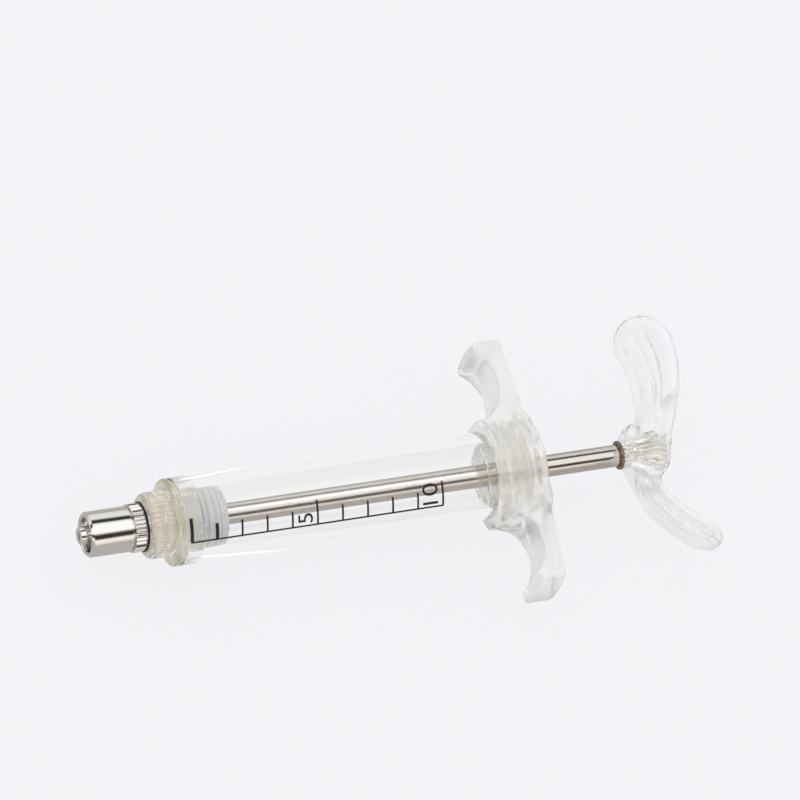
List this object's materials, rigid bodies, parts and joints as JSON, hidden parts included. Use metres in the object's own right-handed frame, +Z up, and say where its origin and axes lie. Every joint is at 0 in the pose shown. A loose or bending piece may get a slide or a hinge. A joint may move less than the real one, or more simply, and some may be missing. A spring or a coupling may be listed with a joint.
{
  "type": "reusable luer-lock syringe",
  "caption": "Reusable clear-barrel syringe with a metal luer-lock nozzle, screwed caps, finger wings, a steel plunger rod with a sealed piston and a curved palm handle.",
  "frame": {"origin": "centre of the luer cone's tip, where a needle hub or tube adapter goes on", "axes": "+X along the axis from the nozzle to the handle, +Y along the upper finger wing, +Z up, across the wings"},
  "size_m": [0.1485, 0.0606, 0.0239],
  "materials": {
    "chrome": "polished nickel plate",
    "gasket": "matt black rubber",
    "washer": "bright pressed steel",
    "cap_plastic": "translucent cream moulding",
    "brass": "machined, knurled",
    "silicone": "translucent silicone",
    "clear_barrel": "clear polished tube with a printed black scale",
    "clear_plastic": "clear moulding",
    "piston_plastic": "translucent grey-white moulding",
    "steel": "satin stainless rod"
  },
  "bodies": {
    "barrel": {"barrel": "clear_barrel"},
    "front_seal": {"front_seal": "silicone"},
    "front_cap": {"front_cap": "cap_plastic", "cap_insert": "brass", "nozzle": "chrome", "lock_collar": "chrome", "nozzle_gasket": "gasket", "nozzle_washer": "washer"},
    "rear_seal": {"rear_seal": "silicone"},
    "grip": {"grip_cap": "clear_plastic", "rod_guide": "piston_plastic", "guide_seal": "silicone"},
    "piston_seal": {"piston_seal": "silicone"},
    "plunger": {"plunger_rod": "steel", "piston_front": "piston_plastic", "piston_rear": "piston_plastic", "piston_nut": "steel", "rod_ferrule": "brass", "handle_insert": "brass", "handle_hub": "clear_plastic", "upper_lobe": "clear_plastic", "lower_lobe": "clear_plastic"}
  },
  "joints": [
    {"name": "plunger_slide", "type": "slide", "parent": "barrel", "child": "piston_seal", "axis": [1, 0, 0], "range_m": [0, 0.0604]},
    {"name": "plunger_spin", "type": "hinge", "parent": "piston_seal", "child": "plunger", "pos_m": [0.03, 0, 0], "axis": [1, 0, 0], "continuous": true},
    {"name": "front_cap_travel", "type": "slide", "parent": "barrel", "child": "front_seal", "axis": [-1, 0, 0], "range_m": [0, 0.0045]},
    {"name": "front_cap_turn", "type": "hinge", "parent": "front_seal", "child": "front_cap", "pos_m": [0.02, 0, 0], "axis": [-1, 0, 0], "range_deg": [0, 1080]},
    {"name": "grip_travel", "type": "slide", "parent": "barrel", "child": "rear_seal", "axis": [1, 0, 0], "range_m": [0, 0.0075]},
    {"name": "grip_turn", "type": "hinge", "parent": "rear_seal", "child": "grip", "pos_m": [0.105, 0, 0], "axis": [1, 0, 0], "range_deg": [0, 1800]}
  ],
  "couplings": [
    {"joint": "front_cap_travel", "follows": "front_cap_turn", "m_per_rad": 0.00023873},
    {"joint": "grip_travel", "follows": "grip_turn", "m_per_rad": 0.00023873}
  ]
}
